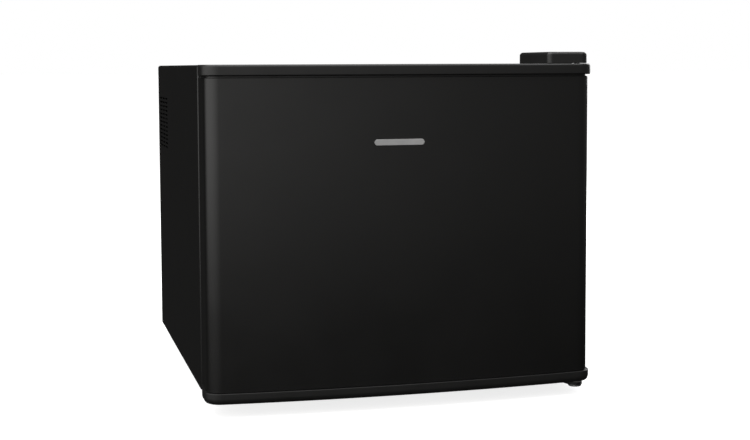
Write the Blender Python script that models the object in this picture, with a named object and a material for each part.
"""Table-top thermoelectric mini fridge, built as an assembly of separate pieces.

Units are metres and +Z is up. The door faces -Y, the floor is z = 0, and the origin lies on the floor
under the middle of the object. Short names in the formulas: x is width, y is depth, z is height.
"""
import math

import bmesh
import bpy
from mathutils import Matrix, Vector

# ---- driving dimensions ---------------------------------------------------------------------------
CABINET_WIDTH = 0.4032
CABINET_DEPTH = 0.3899
CABINET_BOTTOM = 0.0180
CABINET_TOP = 0.3485
DOOR_BOTTOM = 0.0146
DOOR_TOP = 0.3487
DOOR_THICKNESS = 0.0463
DOOR_BOW = 0.0098
DOOR_CORNER = 0.0150
CAP_OVERHANG = 0.0028
CAP_HEIGHT = 0.0112
CAP_GROOVE = 0.0016
CAP_TONGUE = 0.0060
CAP_TUCK = 0.0022
LIP_LENGTH = 0.0263
GASKET_GAP = 0.0080
WALL_INSULATION = 0.038
REAR_INSULATION = 0.0235
CAVITY_DEPTH = 0.2600
SHEET = 0.0010
LINER = 0.0015
GAP = 0.0003

# ---- places worked out from them ------------------------------------------------------------------
HALF_WIDTH = CABINET_WIDTH / 2
TOTAL_DEPTH = CAP_OVERHANG + DOOR_BOW + DOOR_THICKNESS + GASKET_GAP + CABINET_DEPTH
REAR = TOTAL_DEPTH / 2
FRONT = REAR - CABINET_DEPTH
DOOR_BACK = FRONT - GASKET_GAP
DOOR_EDGE = DOOR_BACK - DOOR_THICKNESS
LIP_END = DOOR_EDGE + LIP_LENGTH
BOW_RADIUS = (HALF_WIDTH ** 2 + DOOR_BOW ** 2) / (2 * DOOR_BOW)
BOW_CENTRE = DOOR_EDGE - DOOR_BOW + BOW_RADIUS
INNER_HALF = HALF_WIDTH - SHEET
DOOR_PLATE_HALF = INNER_HALF - 0.0028

CAVITY_HALF = HALF_WIDTH - WALL_INSULATION - LINER
CAVITY_FLOOR = CABINET_BOTTOM + WALL_INSULATION
CAVITY_CEILING = CABINET_TOP - WALL_INSULATION
CAVITY_BACK = FRONT + CAVITY_DEPTH
FOAM_BACK = CAVITY_BACK + REAR_INSULATION
PLATE_BACK = FOAM_BACK + GAP + SHEET
FLANGE = 0.020

HINGE_X = HALF_WIDTH - 0.0091
HINGE_Y = DOOR_EDGE + 0.018
PIN_RADIUS = 0.0030
PIN_HOLE = PIN_RADIUS + GAP
PIN_REACH = 0.0112
BUSH_RADIUS = 0.0050
BUSH_DEPTH = 0.0120
SCREW_HOLE = 0.0024

COOLER_Z = 0.200
COLD_HALF = 0.020
WINDOW_HALF = COLD_HALF + 0.002
COVER_FACE = REAR - 0.0025
COVER_SHEET = 0.0020
LIP_FACE = REAR - 0.0048
REAR_LIP = 0.0100
FOOT_X = 0.165
FOOT_FRONT_Y = FRONT + 0.042
FOOT_REAR_Y = REAR - 0.082
SHELF_Z = 0.1783
SHELF_THICKNESS = 0.0040
LEDGE_DROP = 0.048
KNOB = Vector((CAVITY_HALF - 0.0283, FRONT + 0.1241, 0.261))
SWITCH = Vector((-0.085, REAR - 0.009, 0.062))
INLET = Vector((-0.135, COVER_FACE, 0.062))
PLUNGER_X = 0.100
PLUNGER_Z = CAVITY_CEILING + 0.0088
HINGE_COVER_TOP = 0.3608


# ---- tools ----------------------------------------------------------------------------------------
def clear_scene():
    for item in list(bpy.data.objects):
        bpy.data.objects.remove(item, do_unlink=True)


def make_look(name, colour, roughness, metallic=0.0):
    look = bpy.data.materials.new(name)
    look.use_nodes = True
    shader = look.node_tree.nodes["Principled BSDF"]
    shader.inputs["Base Color"].default_value = (*colour, 1.0)
    shader.inputs["Roughness"].default_value = roughness
    shader.inputs["Metallic"].default_value = metallic
    look.diffuse_color = (*colour, 1.0)
    return look


def add_box(bm, low, high):
    low, high = Vector(low), Vector(high)
    place = Matrix.LocRotScale((low + high) / 2, None, high - low)
    bmesh.ops.create_cube(bm, size=1.0, matrix=place)


def on_axis(axis, a, b, along):
    """A point whose position along the axis is `along`; a and b are the other two, in x, y, z order."""
    if axis == "X":
        return Vector((along, a, b))
    if axis == "Y":
        return Vector((a, along, b))
    return Vector((a, b, along))


def add_rings(bm, rings, closed=False):
    """Skins a stack of equal rings of points and closes both ends, or joins the last to the first."""
    made = [[bm.verts.new(point) for point in ring] for ring in rings]
    pairs = list(zip(made, made[1:]))
    if closed:
        pairs.append((made[-1], made[0]))
    else:
        bm.faces.new(made[0])
        bm.faces.new(made[-1])
    for lower, upper in pairs:
        for i in range(len(lower)):
            j = (i + 1) % len(lower)
            bm.faces.new((lower[i], lower[j], upper[j], upper[i]))


def add_prism(bm, outline, low, high, axis="Z"):
    add_rings(bm, [[on_axis(axis, a, b, along) for a, b in outline] for along in (low, high)])


def add_turned(bm, profile, centre, axis="Z", segments=24, closed=False):
    """Turns (radius, height) pairs about an axis through `centre`; closed joins the last to the first."""
    rings = []
    for radius, height in profile:
        ring = []
        for i in range(segments):
            angle = 2 * math.pi * i / segments
            a, b = radius * math.cos(angle), radius * math.sin(angle)
            ring.append(Vector(centre) + on_axis(axis, a, b, height))
        rings.append(ring)
    add_rings(bm, rings, closed)


def arc(centre, radius, start, end, steps):
    """Points along an arc, its angles in degrees; no steps gives the starting point alone."""
    points = []
    for i in range(steps + 1):
        angle = math.radians(start + (end - start) * i / max(steps, 1))
        points.append((centre[0] + radius * math.cos(angle), centre[1] + radius * math.sin(angle)))
    return points


def rounded(low, high, radius, steps=4):
    """A rectangle's outline with round corners."""
    (x0, y0), (x1, y1) = low, high
    return (arc((x1 - radius, y0 + radius), radius, -90, 0, steps)
            + arc((x1 - radius, y1 - radius), radius, 0, 90, steps)
            + arc((x0 + radius, y1 - radius), radius, 90, 180, steps)
            + arc((x0 + radius, y0 + radius), radius, 180, 270, steps))


def link_mesh(name, bm):
    bmesh.ops.recalc_face_normals(bm, faces=bm.faces)
    mesh = bpy.data.meshes.new(name)
    bm.to_mesh(mesh)
    bm.free()
    thing = bpy.data.objects.new(name, mesh)
    bpy.context.collection.objects.link(thing)
    return thing


def make_piece(name, bm, look, pivot=None, origin=None):
    """A finished node. Its mesh is drawn in world places; origin or pivot puts it on its joint's axis."""
    if origin is not None:
        bmesh.ops.translate(bm, verts=bm.verts, vec=-Vector(origin))
    thing = link_mesh(name, bm)
    thing.data.materials.append(look)
    thing.data.shade_smooth()
    thing.data.set_sharp_from_angle(angle=math.radians(32))
    if origin is not None:
        thing.location = origin
    if pivot is not None:
        thing.parent = pivot
        thing.location = -pivot.location
    return thing


def apply_guide(piece, bm, operation):
    guide = link_mesh(piece.name + "_guide", bm)
    guide.hide_render = True
    guide.display_type = "WIRE"
    step = piece.modifiers.new(operation.lower(), "BOOLEAN")
    step.operation = operation
    step.solver = "EXACT"
    step.object = guide


def cut_boxes(piece, boxes):
    bm = bmesh.new()
    for low, high in boxes:
        add_box(bm, low, high)
    apply_guide(piece, bm, "DIFFERENCE")


def join_boxes(piece, boxes):
    bm = bmesh.new()
    for low, high in boxes:
        add_box(bm, low, high)
    apply_guide(piece, bm, "UNION")


def cut_holes(piece, centres, radius, depth, axis="Z", segments=16):
    """Round holes through both sides of each centre."""
    bm = bmesh.new()
    for centre in centres:
        add_turned(bm, [(radius, -depth), (radius, depth)], centre, axis, segments)
    apply_guide(piece, bm, "DIFFERENCE")


def soften(piece, width, segments=2):
    step = piece.modifiers.new("soften", "BEVEL")
    step.width = width
    step.segments = segments
    step.limit_method = "ANGLE"
    step.angle_limit = math.radians(50)


def box_piece(name, low, high, look, pivot=None):
    bm = bmesh.new()
    add_box(bm, low, high)
    return make_piece(name, bm, look, pivot)


def turned_piece(name, profile, centre, look, axis="Z", segments=24, closed=False, pivot=None):
    bm = bmesh.new()
    add_turned(bm, profile, centre, axis, segments, closed)
    return make_piece(name, bm, look, pivot)


# ---- cabinet --------------------------------------------------------------------------------------
def wrapper_outline(inset, radius):
    """The cabinet's section: square at the bottom, bent to a radius at the two top edges."""
    half, top, base = HALF_WIDTH - inset, CABINET_TOP - inset, CABINET_BOTTOM
    return ([(-half, base), (half, base)]
            + arc((half - radius, top - radius), radius, 0, 90, 4)
            + arc((-half + radius, top - radius), radius, 90, 180, 4))


def make_cabinet_shell(looks):
    bend = 0.0030
    bm = bmesh.new()
    add_prism(bm, wrapper_outline(0, bend), FRONT, REAR, "Y")
    shell = make_piece("cabinet_shell", bm, looks["black_steel"])
    for start, end in ((FRONT + SHEET, LIP_FACE - SHEET), (LIP_FACE, REAR + SHEET)):
        hollow = bmesh.new()
        outline = [(a, b - (SHEET if b < CABINET_BOTTOM + SHEET else 0))
                   for a, b in wrapper_outline(SHEET, bend - SHEET)]
        add_prism(hollow, outline, start, end, "Y")
        apply_guide(shell, hollow, "DIFFERENCE")
    below = CABINET_BOTTOM - SHEET
    cut_boxes(shell, [((FLANGE - HALF_WIDTH, FRONT - SHEET, below),
                       (HALF_WIDTH - FLANGE, FRONT + 2 * SHEET, CABINET_TOP - FLANGE)),
                      ((REAR_LIP - HALF_WIDTH, LIP_FACE - 2 * SHEET, below),
                       (HALF_WIDTH - REAR_LIP, LIP_FACE + SHEET, CABINET_TOP - REAR_LIP))])
    cut_boxes(shell, side_vent_slots())
    cut_holes(shell, cover_screw_places(), 0.0018, 0.008, "Y", 12)
    cut_holes(shell, top_hinge_screw_places(), SCREW_HOLE, 0.004, "Z", 12)
    return shell


def side_vent_slots():
    """Three columns of thirteen short slots near the rear top, cut through both sides."""
    length, half, pitch, column_pitch = 0.0265, 0.0011, 0.0049, 0.0305
    outside = HALF_WIDTH + SHEET
    slots = []
    for column in range(3):
        y = REAR - 0.0165 - length - column * column_pitch
        for row in range(13):
            z = CABINET_TOP - 0.0403 - row * pitch
            slots.append(((-outside, y, z - half), (outside, y + length, z + half)))
    return slots


def make_base_pan(looks):
    half = INNER_HALF - GAP
    base, front, rear = CABINET_BOTTOM + GAP, FRONT + SHEET + GAP, REAR - 0.0062
    height = 0.012
    pan = box_piece("base_pan", (-half, front, base), (half, rear, base + height), looks["zinc"])
    cut_boxes(pan, [((SHEET - half, front + SHEET, base + SHEET), (half - SHEET, rear - SHEET, base + 0.02))])
    lip_half = HALF_WIDTH - FLANGE - GAP
    join_boxes(pan, [((-lip_half, FRONT, base), (lip_half, front + SHEET / 2, base + FLANGE))])
    cut_boxes(pan, [((-0.030 + x, REAR - 0.070 + row * 0.012, base - SHEET),
                     (0.030 + x, REAR - 0.065 + row * 0.012, base + 2 * SHEET))
                    for x in (-0.018, 0.055) for row in range(4)])
    cut_holes(pan, bottom_hinge_screw_places(), SCREW_HOLE, 0.004, "Z", 12)
    return pan


def make_foam(looks):
    half, base, top = INNER_HALF - 0.0018, CABINET_BOTTOM + 0.0016, CABINET_TOP - 0.0016
    foam = box_piece("insulation_foam", (-half, FRONT + 0.0028, base), (half, FOAM_BACK, top), looks["foam"])
    skin = LINER + GAP
    cut_boxes(foam, [((-CAVITY_HALF - skin, FRONT, CAVITY_FLOOR - skin),
                      (CAVITY_HALF + skin, CAVITY_BACK + skin, CAVITY_CEILING + skin))])
    cut_boxes(foam, [((-WINDOW_HALF, CAVITY_BACK, COOLER_Z - WINDOW_HALF),
                      (WINDOW_HALF, REAR, COOLER_Z + WINDOW_HALF))])
    cut_holes(foam, [(PLUNGER_X, FRONT, PLUNGER_Z)], 0.0055, 0.034, "Y", 16)
    cut_holes(foam, top_hinge_screw_places() + bottom_hinge_screw_places(), 0.0026, 0.009, "Z", 12)
    return foam


def make_inner_liner(looks):
    flange_half, flange_top = HALF_WIDTH - FLANGE - GAP, CABINET_TOP - FLANGE - GAP
    flange_base = CABINET_BOTTOM + FLANGE + 2 * GAP
    face = FRONT + 0.0005
    outer_low = (-CAVITY_HALF - LINER, face, CAVITY_FLOOR - LINER)
    outer_high = (CAVITY_HALF + LINER, CAVITY_BACK + LINER, CAVITY_CEILING + LINER)
    liner = box_piece("inner_liner", outer_low, outer_high, looks["white_plastic"])
    join_boxes(liner, [((-flange_half, face, flange_base), (flange_half, face + LINER, flange_top))])
    cut_boxes(liner, [((-CAVITY_HALF, FRONT - LINER, CAVITY_FLOOR),
                       (CAVITY_HALF, CAVITY_BACK, CAVITY_CEILING))])
    cut_boxes(liner, [((-WINDOW_HALF, CAVITY_BACK - LINER, COOLER_Z - WINDOW_HALF),
                       (WINDOW_HALF, CAVITY_BACK + 2 * LINER, COOLER_Z + WINDOW_HALF))])
    ledges = []
    for side in (-1, 1):
        for top in (SHELF_Z - GAP, SHELF_Z - GAP - LEDGE_DROP):
            xs = sorted((side * (CAVITY_HALF - 0.008), side * (CAVITY_HALF + LINER / 2)))
            ledges.append(((xs[0], FRONT + 0.030, top - 0.006), (xs[1], CAVITY_BACK - 0.050, top)))
    join_boxes(liner, ledges)
    cut_holes(liner, [(PLUNGER_X, FRONT, PLUNGER_Z)], 0.0048, 0.006, "Y", 16)
    return liner


def make_back_plate(looks):
    half, base, top = INNER_HALF - 0.0018, CABINET_BOTTOM + 0.0016, CABINET_TOP - 0.0016
    plate = box_piece("foam_back_plate", (-half, FOAM_BACK + GAP, base), (half, PLATE_BACK, top),
                      looks["zinc"])
    cut_boxes(plate, [((-WINDOW_HALF, FOAM_BACK - GAP, COOLER_Z - WINDOW_HALF),
                       (WINDOW_HALF, PLATE_BACK + GAP, COOLER_Z + WINDOW_HALF))])
    return plate


def cover_screw_places():
    edge = HALF_WIDTH - 0.0063
    return [(x, COVER_FACE, z) for x in (-edge, edge) for z in (0.060, 0.300)]


def make_rear_cover(looks):
    half, base, top = INNER_HALF - GAP, CABINET_BOTTOM + SHEET, CABINET_TOP - SHEET - GAP
    front = COVER_FACE - COVER_SHEET
    bm = bmesh.new()
    add_prism(bm, rounded((-half, base), (half, top), 0.002, 2), front, COVER_FACE, "Y")
    cover = make_piece("rear_cover", bm, looks["black_plastic"])
    grille, group_x, group_half, pitch, slot_half = 0.047, 0.110, 0.030, 0.0080, 0.0020
    rows = []
    for row in range(11):
        drop = (row - 5) * pitch
        rows.append((0, math.sqrt(grille ** 2 - drop ** 2), COOLER_Z + drop))
    for x in (-group_x, group_x):
        rows += [(x, group_half, base_z + row * pitch) for base_z in (0.100, 0.285) for row in range(6)]
    cut_boxes(cover, [((x - reach, front - SHEET, z - slot_half), (x + reach, REAR, z + slot_half))
                      for x, reach, z in rows])
    cut_boxes(cover, [((place.x - half_x, front - SHEET, place.z - half_z),
                       (place.x + half_x, REAR, place.z + half_z))
                      for place, half_x, half_z in ((INLET, 0.0140, 0.0105), (SWITCH, 0.0065, 0.0100))])
    cut_holes(cover, cover_screw_places(), 0.0018, 0.008, "Y", 12)
    return cover


def make_screw(name, place, axis, direction, looks, head_radius=0.0038, shank_radius=0.0015, length=0.007):
    """A pan-head screw whose head's underside is at `place`; direction is +1 or -1 along the axis."""
    head = 0.0016
    profile = [(shank_radius * 0.4, -length), (shank_radius, -length + 0.0012), (shank_radius, 0),
               (head_radius, 0), (head_radius, head * 0.5), (head_radius * 0.7, head), (0.0012, head),
               (0.0012, head - 0.0006)]
    profile = [(radius, direction * height) for radius, height in profile]
    return turned_piece(name, profile, place, looks["dark_steel"], axis, 12)


def make_cover_screws(looks):
    names = ("lower_left", "upper_left", "lower_right", "upper_right")
    for name, place in zip(names, cover_screw_places()):
        make_screw("rear_cover_screw_" + name, Vector(place) + Vector((0, GAP, 0)), "Y", 1, looks)


def make_feet(looks):
    top = CABINET_BOTTOM
    profile = [(0.0045, 0.0070), (0.0045, 0.0), (0.0125, 0.0), (0.0135, 0.0012), (0.0150, top - 0.0010),
               (0.0140, top)]
    for row, y in (("front", FOOT_FRONT_Y), ("rear", FOOT_REAR_Y)):
        for side, x in (("left", -FOOT_X), ("right", FOOT_X)):
            turned_piece("foot_" + row + "_" + side, profile, (x, y, 0), looks["rubber"], "Z", 20)


# ---- cooling --------------------------------------------------------------------------------------
def comb_outline(width, base_near, base_far, fin_tip, fins, fin_thickness):
    """A finned bar seen from above. The fins run from the base's far side to fin_tip."""
    points = [(width / 2, base_near), (-width / 2, base_near)]
    pitch = (width - fin_thickness) / (fins - 1)
    for i in range(fins):
        left = -width / 2 + i * pitch
        if i > 0:
            points.append((left, base_far))
        points += [(left, fin_tip), (left + fin_thickness, fin_tip)]
        if i < fins - 1:
            points.append((left + fin_thickness, base_far))
    return points


def make_sink(name, width, height, base_near, base_far, fin_tip, fins, thickness, look):
    bm = bmesh.new()
    outline = comb_outline(width, base_near, base_far, fin_tip, fins, thickness)
    add_prism(bm, outline, COOLER_Z - height / 2, COOLER_Z + height / 2)
    return make_piece(name, bm, look)


def make_cooling_stack(looks):
    cold_base = CAVITY_BACK - 0.0018
    make_sink("cold_sink", 0.100, 0.100, cold_base, cold_base - 0.005, cold_base - 0.021, 13, 0.0018,
              looks["aluminium"])
    block_end = FOAM_BACK - 0.0030
    low, high = COOLER_Z - COLD_HALF, COOLER_Z + COLD_HALF
    box_piece("cold_block", (-COLD_HALF, cold_base + GAP, low), (COLD_HALF, block_end, high),
              looks["aluminium"])
    box_piece("peltier_module", (-COLD_HALF, block_end + GAP, low), (COLD_HALF, PLATE_BACK, high),
              looks["ceramic"])
    hot_base = PLATE_BACK + GAP
    make_sink("hot_sink", 0.120, 0.130, hot_base, hot_base + 0.006, hot_base + 0.036, 21, 0.0016,
              looks["aluminium"])


def make_fan(prefix, size, depth, front, blades, looks):
    """A square fan frame with its struts, and a rotor whose origin is on its axis (along Y)."""
    half, bore = size / 2, size * 0.465
    hub = size * 0.19
    centre = Vector((0, front, COOLER_Z))
    bm = bmesh.new()
    outline = rounded((-half, COOLER_Z - half), (half, COOLER_Z + half), size * 0.05, 3)
    add_prism(bm, outline, front, front + depth, "Y")
    frame = make_piece(prefix + "_frame", bm, looks["black_plastic"])
    cut_holes(frame, [centre + Vector((0, depth / 2, 0))], bore, depth, "Y", 32)
    strut, reach, rear = size * 0.03, half * 0.97, front + depth
    for half_x, half_z in ((reach, strut), (strut, reach)):
        join_boxes(frame, [((-half_x, rear - 0.0025, COOLER_Z - half_z),
                            (half_x, rear - 0.0002, COOLER_Z + half_z))])
    motor = bmesh.new()
    add_turned(motor, [(hub, depth - 0.0030), (hub, depth - 0.0001)], centre, "Y", 20)
    apply_guide(frame, motor, "UNION")
    corner = half * 0.86
    cut_holes(frame, [centre + Vector((x * corner, depth / 2, z * corner)) for x in (-1, 1) for z in (-1, 1)],
              0.0022, depth, "Y", 10)
    make_rotor(prefix + "_rotor", size, depth, centre, hub, blades, looks)


def make_rotor(name, size, depth, centre, hub, blades, looks):
    tip = size * 0.445
    chord, thickness = size * 0.16, 0.0014
    middle = centre + Vector((0, depth / 2 - 0.0010, 0))
    bm = bmesh.new()
    reach = depth / 2 - 0.0040
    add_turned(bm, [(hub * 0.9, -reach), (hub, -reach + 0.001), (hub, reach)], middle, "Y", 24)
    rotor = make_piece(name, bm, looks["black_plastic"], origin=middle)
    vanes = bmesh.new()
    for i in range(blades):
        turn = Matrix.Rotation(2 * math.pi * i / blades, 4, "Y")
        pitch = Matrix.Rotation(math.radians(38), 4, "X")
        place = Matrix.Translation(middle) @ turn @ pitch
        size_vector = Vector((tip - hub * 0.8, thickness, chord))
        offset = Vector((hub * 0.8 + size_vector.x / 2, 0, 0))
        bmesh.ops.create_cube(vanes, size=1.0, matrix=place @ Matrix.LocRotScale(offset, None, size_vector))
    apply_guide(rotor, vanes, "UNION")
    return rotor


def make_inner_fan_cover(looks):
    half, wall, corner = 0.085, 0.0020, 0.010
    front, rear = CAVITY_BACK - 0.046, CAVITY_BACK - GAP
    bm = bmesh.new()
    add_prism(bm, rounded((-half, COOLER_Z - half), (half, COOLER_Z + half), corner), front, rear, "Y")
    cover = make_piece("inner_fan_cover", bm, looks["white_plastic"])
    hollow = bmesh.new()
    inner = half - wall
    outline = rounded((-inner, COOLER_Z - inner), (inner, COOLER_Z + inner), corner - wall)
    add_prism(hollow, outline, front + wall, rear + wall, "Y")
    apply_guide(cover, hollow, "DIFFERENCE")
    grille, pitch, slot_half = 0.030, 0.0065, 0.0016
    slots = []
    for row in range(9):
        drop = (row - 4) * pitch
        reach = math.sqrt(grille ** 2 - drop ** 2)
        slots.append(((-reach, front - wall, COOLER_Z + drop - slot_half),
                      (reach, front + 2 * wall, COOLER_Z + drop + slot_half)))
    cut_boxes(cover, slots)
    vent_pitch, vent_half = 0.016, 0.0025
    for z in (COOLER_Z - half, COOLER_Z + half):
        places = [(i - 3.5) * vent_pitch for i in range(8)]
        cut_boxes(cover, [((x - vent_half, front + 0.012, z - 0.005),
                           (x + vent_half, rear - 0.008, z + 0.005)) for x in places])
    return cover


# ---- electrics ------------------------------------------------------------------------------------
def make_power_board(looks):
    x0, x1, y0, y1 = -0.165, -0.065, PLATE_BACK + 0.010, PLATE_BACK + 0.060
    z = CABINET_BOTTOM + 0.0120
    board = box_piece("power_board", (x0, y0, z), (x1, y1, z + 0.0016), looks["board_green"])
    legs = bmesh.new()
    for x in (x0 + 0.006, x1 - 0.006):
        for y in (y0 + 0.006, y1 - 0.006):
            leg = [(0.003, CABINET_BOTTOM + 2 * GAP + SHEET - z), (0.003, 0.0005)]
            add_turned(legs, leg, (x, y, z), "Z", 8)
    apply_guide(board, legs, "UNION")
    top = z + 0.0016 + GAP
    transformer = box_piece("transformer", (x0 + 0.008, y0 + 0.010, top),
                            (x0 + 0.040, y0 + 0.038, top + 0.026), looks["amber_plastic"])
    soften(transformer, 0.0015)
    turned_piece("capacitor", [(0.0078, 0), (0.0080, 0.0008), (0.0080, 0.0240), (0.0074, 0.0250)],
                 (x1 - 0.030, y0 + 0.022, top), looks["black_plastic"], "Z", 20)


def make_mains_inlet(looks):
    """A three-pin appliance inlet: a flanged box with a recess that holds the pins."""
    x, face, z = INLET
    inlet = box_piece("mains_inlet", (x - 0.0135, face - 0.022, z - 0.0100),
                      (x + 0.0135, face + 0.0015, z + 0.0100), looks["black_plastic"])
    join_boxes(inlet, [((x - 0.0200, face + GAP, z - 0.0130), (x + 0.0200, REAR - 0.0004, z + 0.0130))])
    cut_boxes(inlet, [((x - 0.0120, face - 0.018, z - 0.0080), (x + 0.0120, REAR + 0.001, z + 0.0080))])
    pin_half_x, pin_half_z = 0.0010, 0.0020
    join_boxes(inlet, [((x + dx - pin_half_x, face - 0.019, z + dz - pin_half_z),
                        (x + dx + pin_half_x, face - 0.004, z + dz + pin_half_z))
                       for dx, dz in ((-0.007, -0.002), (0, 0.002), (0.007, -0.002))])
    return inlet


def make_power_switch(looks):
    x, pivot, z = SWITCH
    bezel = box_piece("power_switch_bezel", (x - 0.0062, COVER_FACE - 0.014, z - 0.0097),
                      (x + 0.0062, COVER_FACE + 0.0010, z + 0.0097), looks["black_plastic"])
    join_boxes(bezel, [((x - 0.0085, COVER_FACE + GAP, z - 0.0120), (x + 0.0085, REAR - 0.0006, z + 0.0120))])
    cut_boxes(bezel, [((x - 0.0052, COVER_FACE - 0.012, z - 0.0088), (x + 0.0052, REAR + 0.001, z + 0.0088))])
    radius, tilt, valley = 0.0082, 8, 0.0040
    outline = arc((0, 0), radius, 38 + tilt, 2 + tilt, 4) + arc((0, 0), radius, -15 + tilt, -15 + tilt, 0)
    outline += arc((0, 0), radius, 195 + tilt, 195 + tilt, 0) + arc((0, 0), radius, 178 + tilt, 142 + tilt, 4)
    outline += arc((0, 0), valley, 90 + tilt, 90 + tilt, 0)
    bm = bmesh.new()
    add_prism(bm, [(pivot + b, z + a) for a, b in outline], x - 0.0048, x + 0.0048, "X")
    make_piece("power_switch_rocker", bm, looks["black_plastic"], origin=(x, pivot, z))


def make_thermostat(looks):
    x0, x1 = KNOB.x + GAP, CAVITY_HALF - GAP
    y0, y1, z0, z1 = KNOB.y - 0.027, KNOB.y + 0.063, KNOB.z - 0.024, KNOB.z + 0.024
    wall = 0.0020
    housing = box_piece("thermostat_housing", (x0, y0, z0), (x1, y1, z1), looks["white_plastic"])
    cut_boxes(housing, [((x0 + wall, y0 + wall, z0 + wall), (x1 + wall, y1 - wall, z1 - wall))])
    cut_holes(housing, [KNOB], 0.0033, 0.006, "X", 16)
    lens_low = (x0 - SHEET, KNOB.y + 0.027, KNOB.z - 0.013)
    lens_high = (x0 + 2 * wall, KNOB.y + 0.055, KNOB.z + 0.013)
    cut_boxes(housing, [(lens_low, lens_high)])
    lens = box_piece("lamp_lens", (x0 - 0.0010, lens_low[1] + GAP, lens_low[2] + GAP),
                     (x0 + wall, lens_high[1] - GAP, lens_high[2] - GAP), looks["clear_plastic"])
    soften(lens, 0.0006, 1)
    knob = bmesh.new()
    profile = [(0.0030, 0.012), (0.0030, 0), (0.0150, 0), (0.0145, -0.010), (0.0130, -0.012), (0.002, -0.012)]
    add_turned(knob, profile, KNOB, "X", 24)
    knob = make_piece("thermostat_knob", knob, looks["white_plastic"], origin=KNOB)
    grip = bmesh.new()
    add_box(grip, KNOB + Vector((-0.0150, -0.0018, -0.0125)), KNOB + Vector((-0.0100, 0.0018, 0.0125)))
    apply_guide(knob, grip, "UNION")


def make_door_switch(looks):
    face = FRONT + 0.0005
    place = (PLUNGER_X, face, PLUNGER_Z)
    sleeve = [(0.0032, -0.0013), (0.0032, 0.0290), (0.0045, 0.0290), (0.0045, -GAP), (0.0060, -GAP),
              (0.0060, -0.0013)]
    turned_piece("door_switch_sleeve", sleeve, place, looks["white_plastic"], "Y", 16, closed=True)
    tip = DOOR_BACK + GAP - FRONT
    bm = bmesh.new()
    add_turned(bm, [(0.0016, tip), (0.0026, tip + 0.0010), (0.0028, tip + 0.0022), (0.0028, 0.0200)],
               (PLUNGER_X, FRONT, PLUNGER_Z), "Y", 16)
    make_piece("door_switch_plunger", bm, looks["white_plastic"], origin=(PLUNGER_X, FRONT, PLUNGER_Z))


# ---- interior -------------------------------------------------------------------------------------
def make_shelf(looks):
    half, front, rear = CAVITY_HALF - 0.0025, DOOR_BACK + 0.063, CAVITY_BACK - 0.054
    rod = 0.0040
    shelf = box_piece("wire_shelf", (-half, front, SHELF_Z), (half, rear, SHELF_Z + SHELF_THICKNESS),
                      looks["chrome"])
    bars = 13
    pitch = (2 * half - rod) / (bars - 1)
    middle = (front + rear) / 2
    windows = []
    for i in range(bars - 1):
        x0, x1 = -half + i * pitch + rod, -half + (i + 1) * pitch
        for y0, y1 in ((front + rod, middle - rod / 2), (middle + rod / 2, rear - rod)):
            windows.append(((x0, y0, SHELF_Z - rod), (x1, y1, SHELF_Z + 2 * rod)))
    cut_boxes(shelf, windows)
    return shelf


# ---- door -----------------------------------------------------------------------------------------
def door_outline(inset, back, front_steps=16, corner_steps=5):
    """The door seen from above, open along its back: side, round corner, bowed front, corner, side."""
    half, bow, corner = HALF_WIDTH - inset, BOW_RADIUS - inset, max(DOOR_CORNER - inset, 0.001)
    corner_x = half - corner
    corner_y = BOW_CENTRE - math.sqrt((bow - corner) ** 2 - corner_x ** 2)
    swing = math.degrees(math.asin(corner_x / (bow - corner)))
    left = arc((-corner_x, corner_y), corner, 180, 270 - swing, corner_steps)
    front = arc((0, BOW_CENTRE), bow, 270 - swing, 270 + swing, front_steps)
    right = arc((corner_x, corner_y), corner, 270 + swing, 360, corner_steps)
    return [(-half, back)] + left + front[1:-1] + right + [(half, back)]


def make_door_panel(looks, pivot):
    """The bowed skin. It meets the bottom cap closely and stops short of the top one, leaving a groove."""
    low, high = DOOR_BOTTOM + CAP_HEIGHT + GAP, DOOR_TOP - CAP_HEIGHT - CAP_GROOVE
    outer, inner = door_outline(0, DOOR_BACK), door_outline(SHEET, DOOR_BACK)
    bm = bmesh.new()
    add_prism(bm, outer + inner[::-1], low, high)
    return make_piece("door_panel", bm, looks["black_steel"], pivot)


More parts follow.
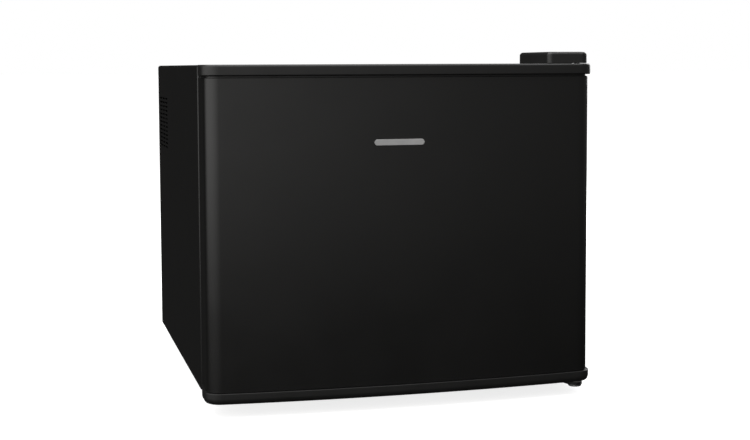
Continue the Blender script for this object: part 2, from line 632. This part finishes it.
def make_door_cap(name, outer_z, direction, edge, looks, pivot):
    """An end cap with a rounded outer edge: direction is +1 for the top cap and -1 for the bottom one."""
    tongue = CAP_HEIGHT + CAP_GROOVE + CAP_TONGUE
    steps = [(CAP_TUCK, tongue), (CAP_TUCK, CAP_HEIGHT), (-CAP_OVERHANG, CAP_HEIGHT)]
    steps += [(edge - CAP_OVERHANG + a, edge + b) for a, b in arc((0, 0), edge, 180, 270, 3)]
    rings = []
    for inset, depth in steps:
        z = outer_z - direction * depth
        back = DOOR_BACK - (inset + CAP_OVERHANG) / 2
        rings.append([Vector((x, y, z)) for x, y in door_outline(inset, back)])
    bm = bmesh.new()
    add_rings(bm, rings)
    cap = make_piece(name, bm, looks["black_plastic"], pivot)
    deep = direction * 0.0300
    pocket = sorted((outer_z - direction * 0.0030, outer_z - deep))
    cut_boxes(cap, [((-0.186, DOOR_EDGE + 0.010, pocket[0]), (0.170, DOOR_BACK - 0.008, pocket[1]))])
    seat_half = DOOR_PLATE_HALF + 0.0004
    seat = sorted((outer_z - direction * 0.0022, outer_z - deep))
    cut_boxes(cap, [((-seat_half, DOOR_BACK - LINER - GAP, seat[0]),
                     (seat_half, DOOR_BACK + 0.010, seat[1]))])
    outside = HALF_WIDTH + 2 * CAP_OVERHANG
    tall = sorted((outer_z + deep, outer_z - deep))
    cut_boxes(cap, [((-outside, LIP_END, tall[0]), (-HALF_WIDTH, DOOR_BACK + SHEET, tall[1])),
                    ((HALF_WIDTH, LIP_END, tall[0]), (outside, DOOR_BACK + SHEET, tall[1]))])
    cut_holes(cap, [(HINGE_X, HINGE_Y, outer_z)], BUSH_RADIUS + GAP, BUSH_DEPTH + 0.0006, "Z", 18)
    cut_holes(cap, [(HINGE_X, HINGE_Y, outer_z)], 0.0078, 0.0014, "Z", 18)
    return cap


def make_bush(name, outer_z, direction, looks, pivot):
    profile = [(PIN_HOLE, 0.0), (0.0074, 0.0), (0.0074, 0.0010), (BUSH_RADIUS, 0.0010),
               (BUSH_RADIUS, BUSH_DEPTH), (PIN_HOLE, BUSH_DEPTH)]
    profile = [(radius, -direction * height) for radius, height in profile]
    place = (HINGE_X, HINGE_Y, outer_z)
    return turned_piece(name, profile, place, looks["nylon"], "Z", 18, closed=True, pivot=pivot)


def make_door_foam(looks, pivot):
    outline = door_outline(SHEET + GAP, DOOR_BACK - LINER - GAP)
    reach = CAP_HEIGHT + CAP_GROOVE + CAP_TONGUE + 2 * GAP
    low, high = DOOR_BOTTOM + reach, DOOR_TOP - reach
    bm = bmesh.new()
    add_prism(bm, outline, low, high)
    return make_piece("door_foam", bm, looks["foam"], pivot)


def make_door_liner(looks, pivot):
    """The door's inner moulding: a plate with two hollow side walls and three hollow ledges."""
    base, top = DOOR_BOTTOM + 0.0026, DOOR_TOP - 0.0026
    front = DOOR_BACK - LINER
    wall, depth, half = 0.0120, 0.0460, 0.1500
    rack_base, rack_top, ledge_z = 0.070, 0.292, 0.178
    liner = box_piece("door_liner", (-DOOR_PLATE_HALF, front, base), (DOOR_PLATE_HALF, DOOR_BACK, top),
                      looks["white_plastic"], pivot)
    join_boxes(liner, [((-half, DOOR_BACK - LINER / 2, rack_base), (half, DOOR_BACK + depth, rack_top))])
    cut_boxes(liner, [((wall - half, DOOR_BACK + 0.0005, low), (half - wall, DOOR_BACK + 2 * depth, high))
                      for low, high in ((rack_base + 0.008, ledge_z), (ledge_z + 0.008, rack_top + 0.010))])
    skin = LINER
    hollows = []
    for side in (-1, 1):
        xs = sorted((side * (half - skin), side * (half - wall + skin)))
        hollows.append(((xs[0], front - SHEET, rack_base + skin),
                        (xs[1], DOOR_BACK + depth - skin, rack_top - skin)))
    inner = half - wall - skin
    for low in (rack_base, ledge_z):
        hollows.append(((-inner, front - SHEET, low + skin),
                        (inner, DOOR_BACK + depth - skin, low + 0.008 - skin)))
    cut_boxes(liner, hollows)
    return liner


def make_bottle_guards(looks, pivot):
    half = 0.1500 - 0.0120 - GAP
    for name, z in (("bottle_guard_lower", 0.104), ("bottle_guard_upper", 0.212)):
        guard = box_piece(name, (-half, DOOR_BACK + 0.0395, z), (half, DOOR_BACK + 0.0430, z + 0.026),
                          looks["clear_plastic"], pivot)
        soften(guard, 0.0008, 1)


def make_gasket(looks, pivot):
    half, base, top = HALF_WIDTH - 0.0030, CABINET_BOTTOM + 0.0030, CABINET_TOP - 0.0030
    width = 0.0150
    front, rear = DOOR_BACK + GAP, FRONT - GAP
    bm = bmesh.new()
    add_prism(bm, rounded((-half, base), (half, top), 0.0060, 3), front, rear, "Y")
    gasket = make_piece("door_gasket", bm, looks["grey_rubber"], pivot)
    cut_boxes(gasket, [((width - half, front - GAP, base + width), (half - width, rear + GAP, top - width))])
    return gasket


# ---- hinges ---------------------------------------------------------------------------------------
def top_hinge_screw_places():
    return [(x, FRONT + 0.026, CABINET_TOP) for x in (0.168, 0.184)]


def bottom_hinge_screw_places():
    return [(x, FRONT + 0.015, CABINET_BOTTOM) for x in (0.158, 0.186)]


def make_top_hinge(looks):
    """A screwed-down plate whose raised tongue carries the pin over the door."""
    base = CABINET_TOP + GAP
    rise, thick, radius = 0.0014, 0.0020, 0.0052
    plate = box_piece("hinge_plate_top", (0.1605, FRONT + 0.004, base),
                      (0.1945, FRONT + 0.0375, base + thick), looks["zinc"])
    tongue = bmesh.new()
    root = FRONT + 0.012
    outline = [(HINGE_X - radius - 0.010, root)] + arc((HINGE_X, HINGE_Y), radius, 190, 355, 8)
    outline += [(HINGE_X + radius - 0.004, root)]
    under = base + rise
    add_prism(tongue, outline, under, under + thick)
    apply_guide(plate, tongue, "UNION")
    cut_holes(plate, [(HINGE_X, HINGE_Y, base)], PIN_HOLE, 0.01, "Z", 18)
    cut_holes(plate, top_hinge_screw_places(), SCREW_HOLE, 0.01, "Z", 12)
    top = under + thick + GAP
    profile = [(0.0024, DOOR_TOP - PIN_REACH), (PIN_RADIUS, DOOR_TOP - PIN_REACH + 0.0008), (PIN_RADIUS, top),
               (0.0048, top), (0.0048, top + 0.0012), (0.0040, top + 0.0018)]
    turned_piece("hinge_pin_top", profile, (HINGE_X, HINGE_Y, 0), looks["steel"], "Z", 18)
    low, high = DOOR_TOP + GAP, under - GAP
    washer = [(PIN_HOLE, low), (radius, low), (radius, high), (PIN_HOLE, high)]
    turned_piece("hinge_washer_top", washer, (HINGE_X, HINGE_Y, 0), looks["nylon"], "Z", 18, closed=True)
    for name, (x, y, z) in zip(("left", "right"), top_hinge_screw_places()):
        head = Vector((x, y, base + thick + GAP))
        make_screw("hinge_screw_top_" + name, head, "Z", 1, looks, 0.0042, 0.0019, 0.010)


def hinge_cover_outline(inset):
    """The cover seen from above: a rounded box with one generous corner at the door's outer front."""
    left, right = 0.1566 + inset, 0.2024 - inset
    front, back = DOOR_EDGE + 0.0085 + inset, FRONT + 0.0406 - inset
    soft, front_left, front_right = 0.0040 - inset / 2, 0.0050 - inset / 2, 0.0080 - inset / 2
    return (arc((left + soft, back - soft), soft, 90, 180, 3)
            + arc((left + front_left, front + front_left), front_left, 180, 270, 4)
            + arc((right - front_right, front + front_right), front_right, 270, 360, 6)
            + arc((right - soft, back - soft), soft, 0, 90, 3))


def make_hinge_cover(looks):
    base, top = CABINET_TOP + GAP, HINGE_COVER_TOP
    edge, wall, clearance = 0.0040, 0.0016, 0.0006
    steps = [(0, base)] + [(edge + a, top - edge + b) for a, b in arc((0, 0), edge, 180, 90, 3)]
    bm = bmesh.new()
    add_rings(bm, [[Vector((x, y, z)) for x, y in hinge_cover_outline(inset)] for inset, z in steps])
    cover = make_piece("hinge_cover", bm, looks["black_plastic"])
    below = base - 0.005
    hollow = bmesh.new()
    add_prism(hollow, hinge_cover_outline(wall), below, top - edge * 0.6)
    apply_guide(cover, hollow, "DIFFERENCE")
    cut_boxes(cover, [((0.130, DOOR_EDGE - 0.02, below), (0.220, FRONT - GAP, DOOR_TOP + clearance))])
    return cover


def make_bottom_hinge(looks):
    """A plate under the cabinet, stepped down to a tongue that carries the door on its pin and washer."""
    top = CABINET_BOTTOM - GAP
    thick, drop_top, radius, right = 0.0026, 0.0104, 0.0078, 0.1985
    tongue_base = drop_top - thick
    rear = FRONT + 0.0040
    bm = bmesh.new()
    add_box(bm, (0.148, rear, top - thick), (right, FRONT + 0.024, top))
    plate = make_piece("hinge_plate_bottom", bm, looks["dark_steel"])
    join_boxes(plate, [((0.166, rear, tongue_base), (right, rear + thick, top - thick / 2))])
    tongue = bmesh.new()
    outline = [(0.1705, rear + thick)] + arc((HINGE_X, HINGE_Y), radius, 196, 360, 8)
    outline += [(right, rear + thick)]
    add_prism(tongue, outline, tongue_base, drop_top)
    apply_guide(plate, tongue, "UNION")
    cut_holes(plate, [(HINGE_X, HINGE_Y, drop_top)], PIN_HOLE, 0.01, "Z", 18)
    cut_holes(plate, bottom_hinge_screw_places(), SCREW_HOLE, 0.01, "Z", 12)
    head, head_radius = tongue_base - GAP, 0.0070
    profile = [(head_radius - 0.0010, head - 0.0018), (head_radius, head - 0.0010), (head_radius, head),
               (PIN_RADIUS, head), (PIN_RADIUS, DOOR_BOTTOM + PIN_REACH - 0.0008),
               (0.0024, DOOR_BOTTOM + PIN_REACH)]
    turned_piece("hinge_pin_bottom", profile, (HINGE_X, HINGE_Y, 0), looks["steel"], "Z", 18)
    washer = [(PIN_HOLE, drop_top + GAP), (0.0062, drop_top + GAP), (0.0066, drop_top + 0.0010),
              (0.0062, DOOR_BOTTOM - GAP), (PIN_HOLE, DOOR_BOTTOM - GAP)]
    turned_piece("hinge_washer_bottom", washer, (HINGE_X, HINGE_Y, 0), looks["nylon"], "Z", 18, closed=True)
    for name, (x, y, z) in zip(("left", "right"), bottom_hinge_screw_places()):
        under = Vector((x, y, top - thick - GAP))
        make_screw("hinge_screw_bottom_" + name, under, "Z", -1, looks, 0.0042, 0.0019, 0.010)


# ---- the whole ------------------------------------------------------------------------------------
def make_looks():
    return {
        "black_steel": make_look("black_steel", (0.016, 0.016, 0.017), 0.42, 0.0),
        "black_plastic": make_look("black_plastic", (0.020, 0.020, 0.020), 0.50),
        "white_plastic": make_look("white_plastic", (0.78, 0.79, 0.80), 0.40),
        "clear_plastic": make_look("clear_plastic", (0.85, 0.88, 0.90), 0.10),
        "amber_plastic": make_look("amber_plastic", (0.62, 0.42, 0.08), 0.45),
        "foam": make_look("foam", (0.80, 0.70, 0.45), 0.90),
        "grey_rubber": make_look("grey_rubber", (0.06, 0.06, 0.06), 0.60),
        "rubber": make_look("rubber", (0.02, 0.02, 0.02), 0.80),
        "nylon": make_look("nylon", (0.75, 0.75, 0.72), 0.45),
        "zinc": make_look("zinc", (0.55, 0.56, 0.57), 0.35, 1.0),
        "steel": make_look("steel", (0.60, 0.60, 0.60), 0.30, 1.0),
        "dark_steel": make_look("dark_steel", (0.05, 0.05, 0.05), 0.40, 1.0),
        "chrome": make_look("chrome", (0.70, 0.70, 0.72), 0.12, 1.0),
        "aluminium": make_look("aluminium", (0.72, 0.73, 0.74), 0.35, 1.0),
        "ceramic": make_look("ceramic", (0.85, 0.85, 0.83), 0.50),
        "board_green": make_look("board_green", (0.03, 0.18, 0.07), 0.45),
    }


def make_door(looks):
    pivot = bpy.data.objects.new("door_pivot", None)
    pivot.location = (HINGE_X, HINGE_Y, (DOOR_BOTTOM + DOOR_TOP) / 2)
    bpy.context.collection.objects.link(pivot)
    make_door_panel(looks, pivot)
    make_door_cap("door_cap_top", DOOR_TOP, 1, 0.0026, looks, pivot)
    make_door_cap("door_cap_bottom", DOOR_BOTTOM, -1, 0.0035, looks, pivot)
    make_bush("hinge_bush_top", DOOR_TOP, 1, looks, pivot)
    make_bush("hinge_bush_bottom", DOOR_BOTTOM, -1, looks, pivot)
    make_door_foam(looks, pivot)
    make_door_liner(looks, pivot)
    make_bottle_guards(looks, pivot)
    make_gasket(looks, pivot)


def main():
    clear_scene()
    looks = make_looks()
    make_cabinet_shell(looks)
    make_base_pan(looks)
    make_foam(looks)
    make_inner_liner(looks)
    make_back_plate(looks)
    make_rear_cover(looks)
    make_cover_screws(looks)
    make_feet(looks)
    make_cooling_stack(looks)
    make_fan("inner_fan", 0.060, 0.0150, CAVITY_BACK - 0.0415, 7, looks)
    make_fan("rear_fan", 0.092, 0.0250, PLATE_BACK + 0.0375, 7, looks)
    make_inner_fan_cover(looks)
    make_power_board(looks)
    make_mains_inlet(looks)
    make_power_switch(looks)
    make_thermostat(looks)
    make_door_switch(looks)
    make_shelf(looks)
    make_door(looks)
    make_top_hinge(looks)
    make_hinge_cover(looks)
    make_bottom_hinge(looks)


main()
